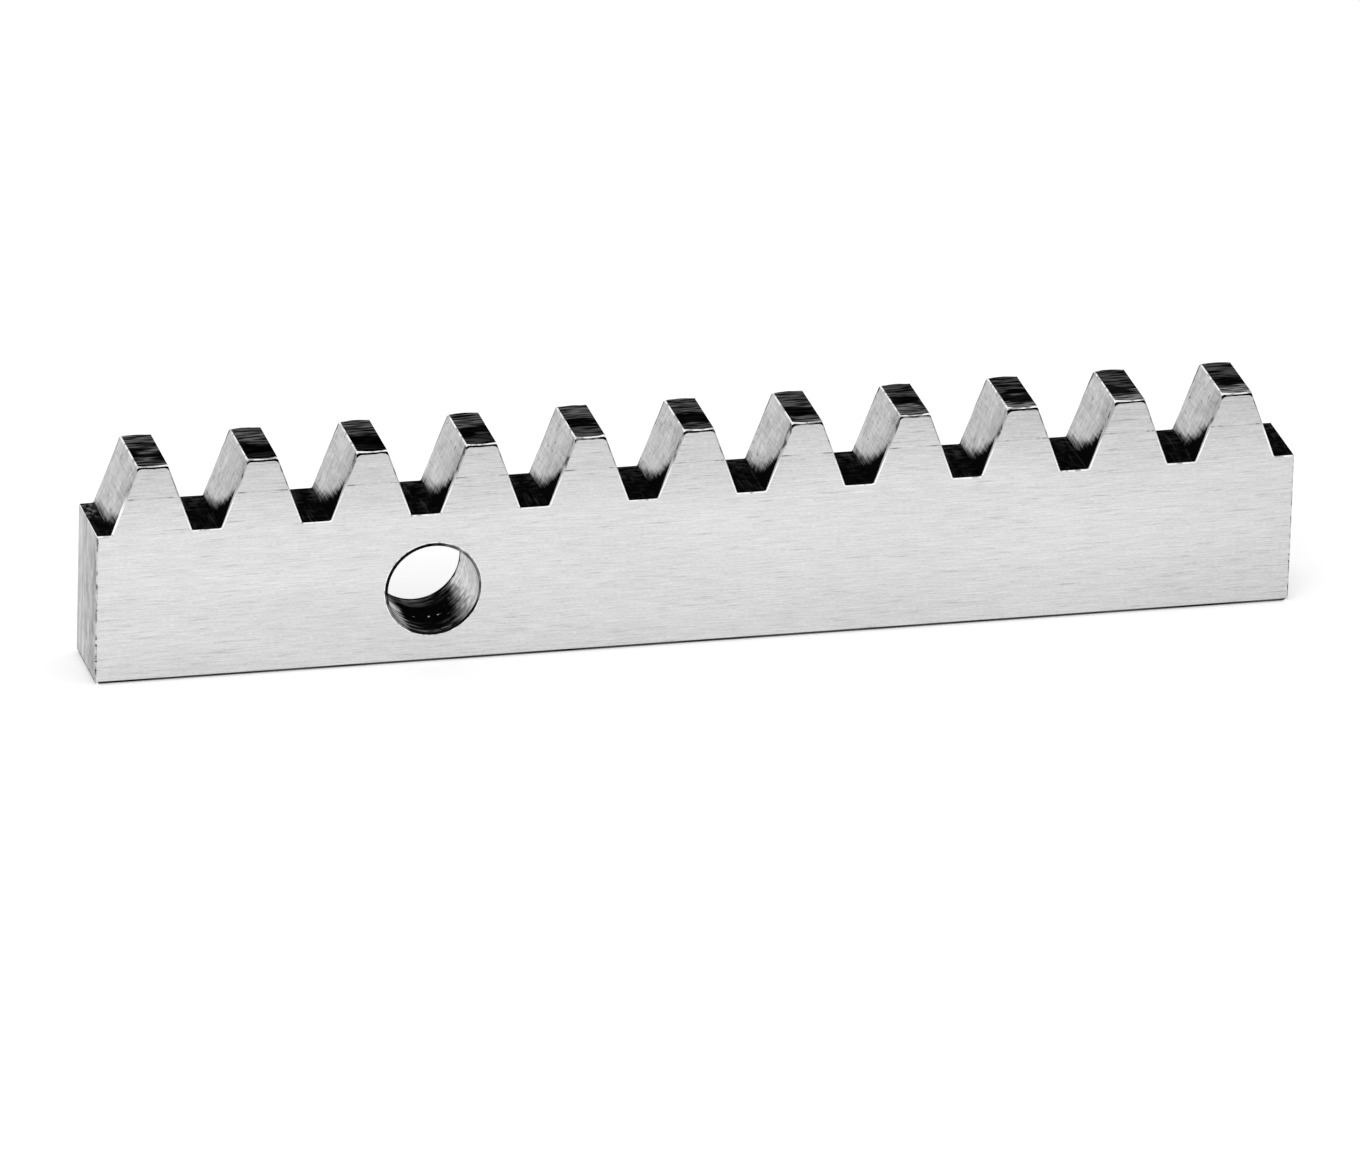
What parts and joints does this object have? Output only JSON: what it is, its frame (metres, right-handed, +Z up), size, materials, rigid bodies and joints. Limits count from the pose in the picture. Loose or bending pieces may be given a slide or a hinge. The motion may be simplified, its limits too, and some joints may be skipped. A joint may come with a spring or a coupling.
{
  "type": "gear rack",
  "caption": "Straight steel gear rack: a flat bar with a row of trapezoid teeth along its top and one plain mounting hole through its web.",
  "frame": {"origin": "middle of the base, which the bar stands on with its teeth up", "axes": "+X along the bar, from the end nearer the hole to the other, +Y from the front face to the back face, +Z up towards the tooth tips"},
  "size_m": [0.139, 0.01, 0.026],
  "materials": {
    "rack_steel": "drawn and milled, bright, with fine lengthwise grain and dark machined tooth tips"
  },
  "bodies": {
    "root": {"gear_rack": "rack_steel"}
  },
  "joints": []
}
